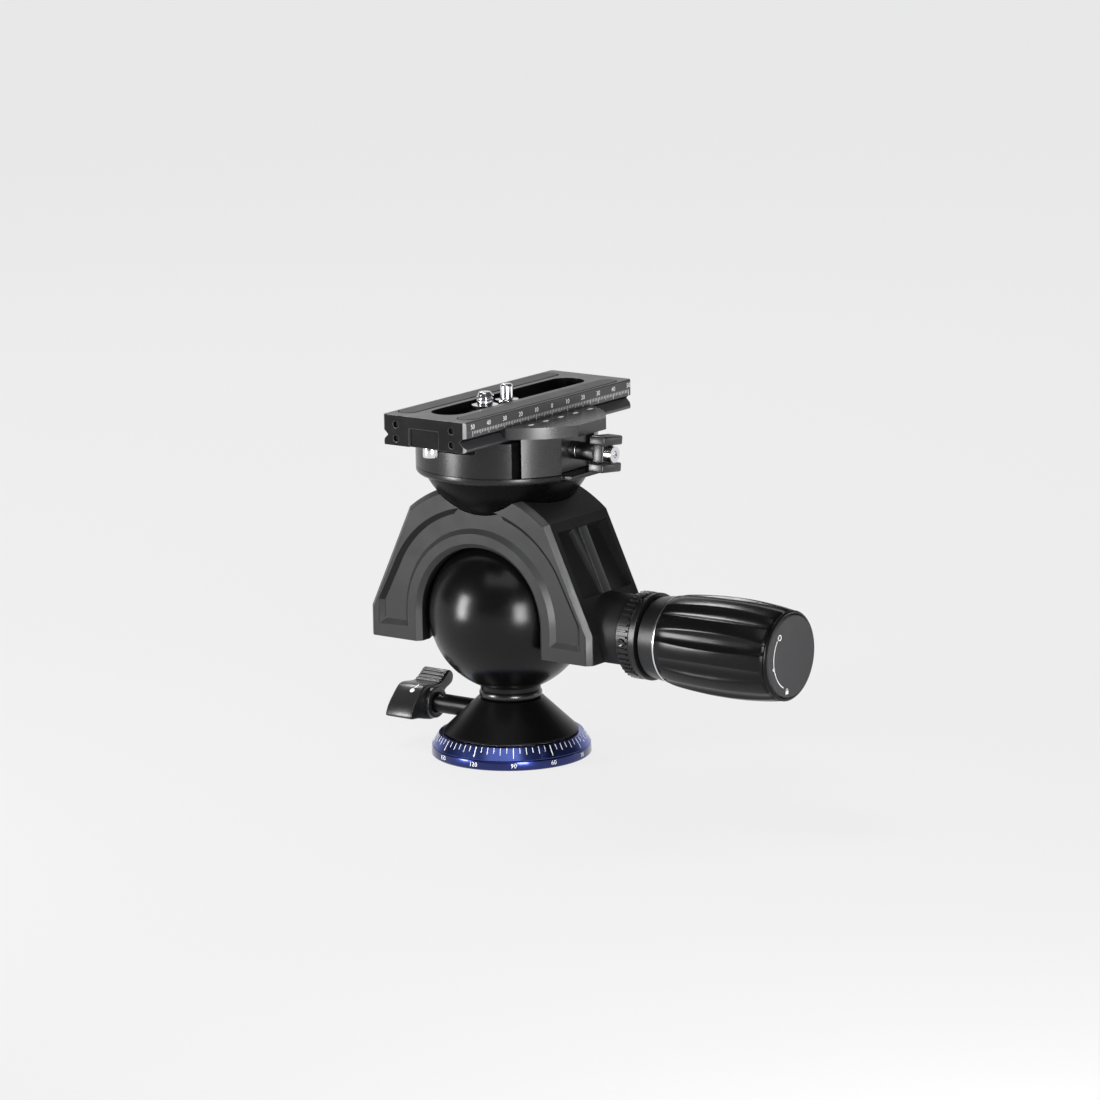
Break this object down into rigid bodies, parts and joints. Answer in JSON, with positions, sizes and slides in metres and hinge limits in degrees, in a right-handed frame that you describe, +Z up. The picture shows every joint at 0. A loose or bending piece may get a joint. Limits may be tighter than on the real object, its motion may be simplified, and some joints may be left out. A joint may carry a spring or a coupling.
{
  "type": "ball head",
  "caption": "Arched camera ball head on a panning base, with a fluted locking knob, a drag ring and a dovetail clamp that holds a slotted camera plate.",
  "frame": {"origin": "centre of the base's bottom face, at the mouth of the tripod thread", "axes": "+Z up along the tripod thread and the pan axis, +X along the main knob, -Y out of the arch face that the picture shows"},
  "size_m": [0.1789, 0.1072, 0.1423],
  "materials": {
    "blue_anodised": "satin anodised",
    "black_satin": "satin anodised",
    "housing_grey": "fine satin paint",
    "plate_grey": "fine blasted and anodised",
    "gloss_black": "gloss",
    "cap_grey": "matte",
    "steel": "machined",
    "chrome": "bright plated",
    "bright_ring": "diamond cut",
    "brass": "machined",
    "shoe_plastic": "moulded",
    "glide_plastic": "smooth",
    "rubber": "fine grain"
  },
  "bodies": {
    "base": {"base_plate": "blue_anodised", "thread_insert": "steel", "scale_ring": "blue_anodised", "glide_ring": "glide_plastic"},
    "ball_stand": {"pan_body": "black_satin", "ball": "black_satin", "ball_bolt": "steel"},
    "pan_brake": {"pan_pad": "brass"},
    "pan_lock": {"pan_spindle": "black_satin", "pan_wing": "black_satin"},
    "neck": {"neck_ring": "black_satin"},
    "backing_shoe": {"fixed_shoe": "shoe_plastic"},
    "head": {"housing": "housing_grey", "bowl": "black_satin", "clamp_base": "black_satin", "clamp_bolt": "steel", "jaw_pins": "steel"},
    "brake_shoe": {"moving_shoe": "shoe_plastic"},
    "main_knob": {"main_spindle": "steel", "knob_core": "black_satin", "line_ring": "bright_ring", "knob_grip": "gloss_black", "knob_bezel": "gloss_black", "knob_cap": "cap_grey"},
    "drag_ring": {"friction_ring": "black_satin"},
    "clamp_jaw": {"jaw": "black_satin"},
    "clamp_knob": {"clamp_screw": "chrome", "clamp_wings": "black_satin", "wing_screw": "chrome"},
    "camera_plate": {"plate": "plate_grey", "pad_left": "rubber", "pad_right": "rubber", "stop_pins": "chrome", "end_screws": "steel"},
    "screw_carriage": {"screw_slider": "plate_grey"},
    "plate_screw": {"camera_screw": "chrome"},
    "pin_carriage": {"pin_slider": "plate_grey", "video_pin": "chrome"}
  },
  "joints": [
    {"name": "pan", "type": "hinge", "parent": "base", "child": "ball_stand", "pos_m": [0, 0, 0.0083], "axis": [0, 0, 1], "continuous": true},
    {"name": "pan_brake_slide", "type": "slide", "parent": "ball_stand", "child": "pan_brake", "axis": [-1, 0, 0], "range_m": [0, 0.0005]},
    {"name": "pan_lock_turn", "type": "hinge", "parent": "pan_brake", "child": "pan_lock", "pos_m": [-0.02, 0, 0.0147], "axis": [-1, 0, 0], "range_deg": [0, 180]},
    {"name": "ball_swivel", "type": "hinge", "parent": "ball_stand", "child": "neck", "pos_m": [0, 0, 0.055], "axis": [0, 0, 1], "continuous": true},
    {"name": "ball_roll", "type": "hinge", "parent": "neck", "child": "backing_shoe", "pos_m": [0, 0, 0.055], "axis": [0, -1, 0], "range_deg": [-28, 11]},
    {"name": "ball_pitch", "type": "hinge", "parent": "backing_shoe", "child": "head", "pos_m": [0, 0, 0.055], "axis": [1, 0, 0], "range_deg": [-90, 90]},
    {"name": "brake_shoe_slide", "type": "slide", "parent": "head", "child": "brake_shoe", "axis": [1, 0, 0], "range_m": [0, 0.0005]},
    {"name": "main_knob_turn", "type": "hinge", "parent": "brake_shoe", "child": "main_knob", "pos_m": [0.06, 0, 0.0532], "axis": [1, 0, 0], "range_deg": [0, 180]},
    {"name": "drag_ring_turn", "type": "hinge", "parent": "head", "child": "drag_ring", "pos_m": [0.06, 0, 0.0532], "axis": [1, 0, 0], "range_deg": [0, 270]},
    {"name": "jaw_slide", "type": "slide", "parent": "head", "child": "clamp_jaw", "axis": [1, 0, 0], "range_m": [0, 0.002]},
    {"name": "clamp_knob_turn", "type": "hinge", "parent": "clamp_jaw", "child": "clamp_knob", "pos_m": [0.04, 0, 0.1202], "axis": [1, 0, 0], "range_deg": [0, 720]},
    {"name": "plate_slide", "type": "slide", "parent": "head", "child": "camera_plate", "axis": [0, 1, 0], "range_m": [-0.012, 0.009]},
    {"name": "screw_slide", "type": "slide", "parent": "camera_plate", "child": "screw_carriage", "axis": [0, 1, 0], "range_m": [-0.02, 0]},
    {"name": "camera_screw_turn", "type": "hinge", "parent": "screw_carriage", "child": "plate_screw", "pos_m": [0, -0.0134, 0.135], "axis": [0, 0, 1], "continuous": true},
    {"name": "pin_slide", "type": "slide", "parent": "camera_plate", "child": "pin_carriage", "axis": [0, 1, 0], "range_m": [0, 0.037]}
  ],
  "couplings": [
    {"joint": "pan_lock_turn", "follows": "pan_brake_slide", "rad_per_m": 6283.2},
    {"joint": "main_knob_turn", "follows": "brake_shoe_slide", "rad_per_m": 6283.2},
    {"joint": "clamp_knob_turn", "follows": "jaw_slide", "rad_per_m": 6283.2}
  ]
}
